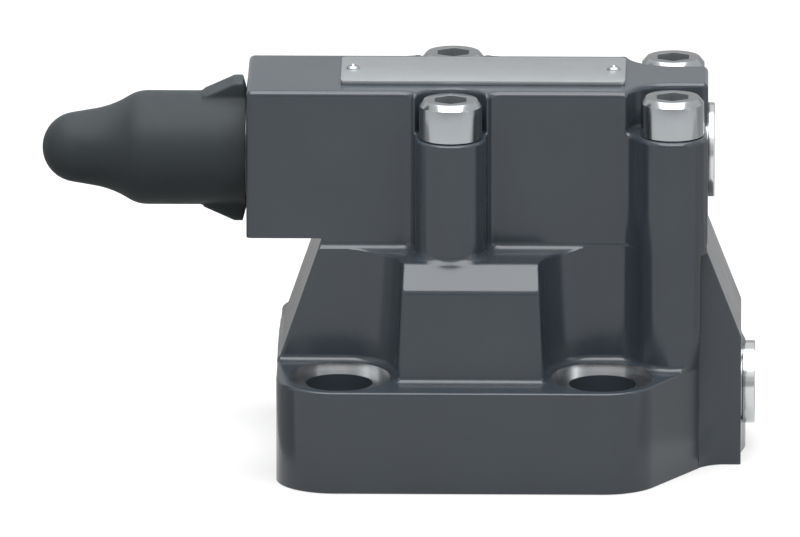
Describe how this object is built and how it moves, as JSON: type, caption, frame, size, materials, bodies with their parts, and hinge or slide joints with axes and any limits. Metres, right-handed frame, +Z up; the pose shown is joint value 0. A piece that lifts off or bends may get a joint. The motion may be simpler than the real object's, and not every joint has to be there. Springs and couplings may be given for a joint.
{
  "type": "pilot-operated relief valve",
  "caption": "Subplate-mounted hydraulic pressure relief valve: cast main stage, pilot valve bolted on top, adjusting screw under a protective cap.",
  "frame": {"origin": "centre of the four mounting holes, on the mounting face", "axes": "+Z up, away from the mounting face; +X along the pilot axis, from the protective cap to the end plug; +Y to the back of the picture's view"},
  "size_m": [0.1814, 0.1, 0.0994],
  "materials": {
    "body_paint": "semi-gloss grey paint over cast iron",
    "screw_steel": "bright zinc plated steel",
    "plate_aluminium": "satin aluminium, bare",
    "cap_plastic": "matte moulded plastic",
    "plug_steel": "bright zinc plated steel",
    "bush_steel": "turned and plated steel",
    "inner_steel": "hardened and ground steel",
    "spring_steel": "spring wire",
    "orifice_brass": "turned brass",
    "seal_copper": "soft copper ring",
    "seal_rubber": "black nitrile rubber"
  },
  "bodies": {
    "housing": {"main_body": "body_paint", "pilot_body": "body_paint", "cap_screws": "screw_steel", "nameplate": "plate_aluminium", "nameplate_rivets": "screw_steel", "guide_bush": "bush_steel", "guide_bush_o_ring": "seal_rubber", "pilot_spring": "spring_steel", "pilot_seat": "inner_steel", "pilot_end_plug": "plug_steel", "pilot_end_plug_o_ring": "seal_rubber", "pilot_line_plug": "plug_steel", "pilot_line_plug_seal": "seal_copper", "pilot_line_orifice": "orifice_brass", "pilot_damping_orifice": "orifice_brass", "main_sleeve": "inner_steel", "sleeve_o_rings": "seal_rubber", "main_spring": "spring_steel", "interface_o_rings": "seal_rubber", "port_o_rings": "seal_rubber"},
    "protective_cap": {"protective_cap": "cap_plastic"},
    "spring_plate": {"spring_plate": "inner_steel", "spring_plate_o_ring": "seal_rubber"},
    "adjusting_screw": {"adjusting_screw": "bush_steel"},
    "lock_nut_washer": {"lock_nut_washer": "screw_steel"},
    "lock_nut": {"lock_nut": "screw_steel"},
    "main_poppet": {"main_poppet": "inner_steel"},
    "pilot_poppet": {"pilot_poppet": "inner_steel"}
  },
  "joints": [
    {"name": "cap_pull", "type": "slide", "parent": "housing", "child": "protective_cap", "axis": [-1, 0, 0], "range_m": [0, 0.045]},
    {"name": "adjuster_feed", "type": "slide", "parent": "housing", "child": "spring_plate", "axis": [1, 0, 0], "range_m": [0, 0.006], "deforming": ["pilot_spring"]},
    {"name": "adjuster_turn", "type": "hinge", "parent": "spring_plate", "child": "adjusting_screw", "pos_m": [-0.07, 0, 0.0776], "axis": [1, 0, 0], "range_deg": [0, 1440]},
    {"name": "lock_nut_slack", "type": "slide", "parent": "housing", "child": "lock_nut_washer", "axis": [-1, 0, 0], "range_m": [0, 0.0015]},
    {"name": "lock_nut_turn", "type": "hinge", "parent": "lock_nut_washer", "child": "lock_nut", "pos_m": [-0.072, 0, 0.0776], "axis": [-1, 0, 0], "range_deg": [0, 360]},
    {"name": "main_poppet_lift", "type": "slide", "parent": "housing", "child": "main_poppet", "axis": [0, 0, 1], "range_m": [0, 0.005], "stiffness_N_per_m": 2000, "springref_m": -0.008, "deforming": ["main_spring"]},
    {"name": "pilot_poppet_lift", "type": "slide", "parent": "housing", "child": "pilot_poppet", "axis": [-1, 0, 0], "range_m": [0, 0.001], "stiffness_N_per_m": 2000, "springref_m": -0.004, "deforming": ["pilot_spring"]}
  ],
  "couplings": [
    {"joint": "adjuster_turn", "follows": "adjuster_feed", "rad_per_m": 4188.8},
    {"joint": "lock_nut_turn", "follows": "lock_nut_slack", "rad_per_m": 4188.8}
  ]
}
